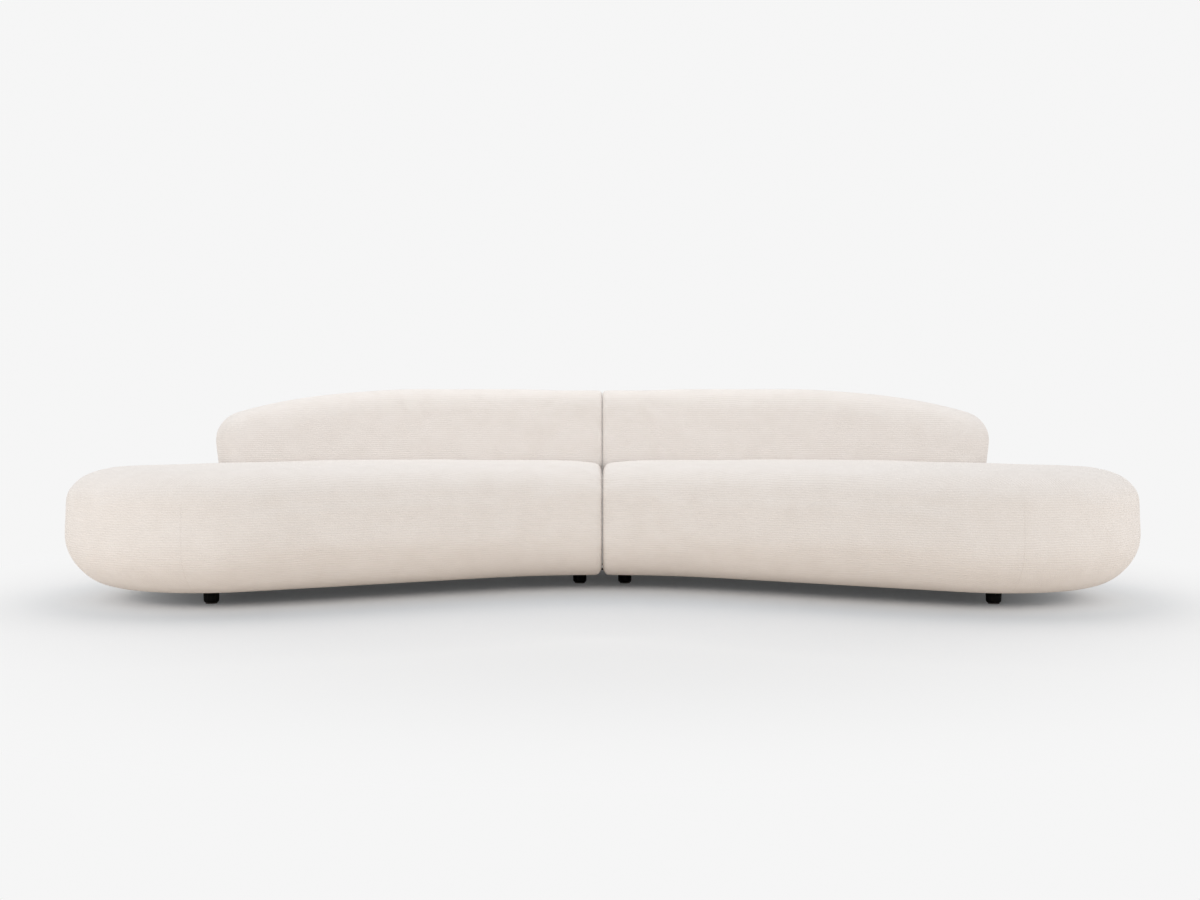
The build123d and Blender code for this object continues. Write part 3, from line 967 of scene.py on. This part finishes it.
away = node(tree, "ShaderNodeVectorMath", operation="LENGTH", _0=coords).outputs["Value"]
fade = spread(tree, away, fade_start, fade_end, eased=True)
seen = calc(tree, "MAXIMUM", path["Is Camera Ray"], path["Is Glossy Ray"])
glow = node(tree, "ShaderNodeEmission", Color=near_white, Strength=1.0)
blend = node(tree, "ShaderNodeMixShader", Fac=calc(tree, "MULTIPLY", fade, seen))
tree.links.new(shader.outputs[0], blend.inputs[1])
tree.links.new(glow.outputs[0], blend.inputs[2])
tree.links.new(blend.outputs[0], tree.nodes["Material Output"].inputs["Surface"])
floor.data.materials.append(paper)
print("floor:", floor_size, "m wide, fading from", fade_start, "m")

# %% [markdown]
# ## Light and camera
# The world fills in most of the light; only the camera and mirrored rays see it near-white. A wide
# soft lamp hangs above the back, so that the shadow falls towards the viewer. Panels stand in front
# on both sides, the left one stronger, and a weak third one lights the right end from the side.

# %% World and lamps
world_light, world_seen = 0.69, 0.92
world = bpy.data.worlds.new("studio")
bpy.context.scene.world = world
world.use_nodes = True
tree = world.node_tree
path = tree.nodes.new("ShaderNodeLightPath").outputs
seen = calc(tree, "MAXIMUM", path["Is Camera Ray"], path["Is Glossy Ray"])
level = spread(tree, seen, 0.0, 1.0, to=(world_light, world_seen))
backdrop = tree.nodes["Background"]
backdrop.inputs["Color"].default_value = (1, 1, 1, 1)
tree.links.new(level, backdrop.inputs["Strength"])


def lamp(name, place, turn, size, power):
    """A rectangular area lamp; its turn is in degrees."""
    bpy.ops.object.light_add(type="AREA", location=place, rotation=[radians(a) for a in turn])
    made = bpy.context.object
    made.name = name
    made.data.shape = "RECTANGLE"
    made.data.size, made.data.size_y = size
    made.data.energy = power


panel = (2.4, 2.0)
lamp("overhead", place=(-0.3, 0.9, 2.9), turn=(-8, 0, 0), size=(4.4, 2.0), power=31)
lamp("left_panel", place=(-3.6, -3.0, 1.5), turn=(84, 0, -46), size=panel, power=33)
lamp("right_panel", place=(3.6, -3.0, 1.5), turn=(84, 0, 46), size=panel, power=20)
lamp("right_side", place=(4.4, -1.2, 1.3), turn=(84, 0, 73), size=panel, power=10)

# %% [markdown]
# The camera stands a little above the seat and looks almost level, where a fit to the sofa's outline
# in the photograph put it. The plain Standard view keeps the paper white.

# %% Camera
camera_place = (0, -4.416, 0.561)
look_down, look_left = radians(1.054), radians(0.105)
sensor_width, lens = 36, 37.5
bpy.ops.object.camera_add(location=camera_place, rotation=(pi / 2 - look_down, 0, look_left))
camera = bpy.context.object
camera.data.sensor_fit = "HORIZONTAL"
camera.data.sensor_width = sensor_width
camera.data.lens = lens
bpy.context.scene.camera = camera
bpy.context.scene.view_settings.view_transform = "Standard"
print("camera at", tuple(round(v, 3) for v in camera.location))
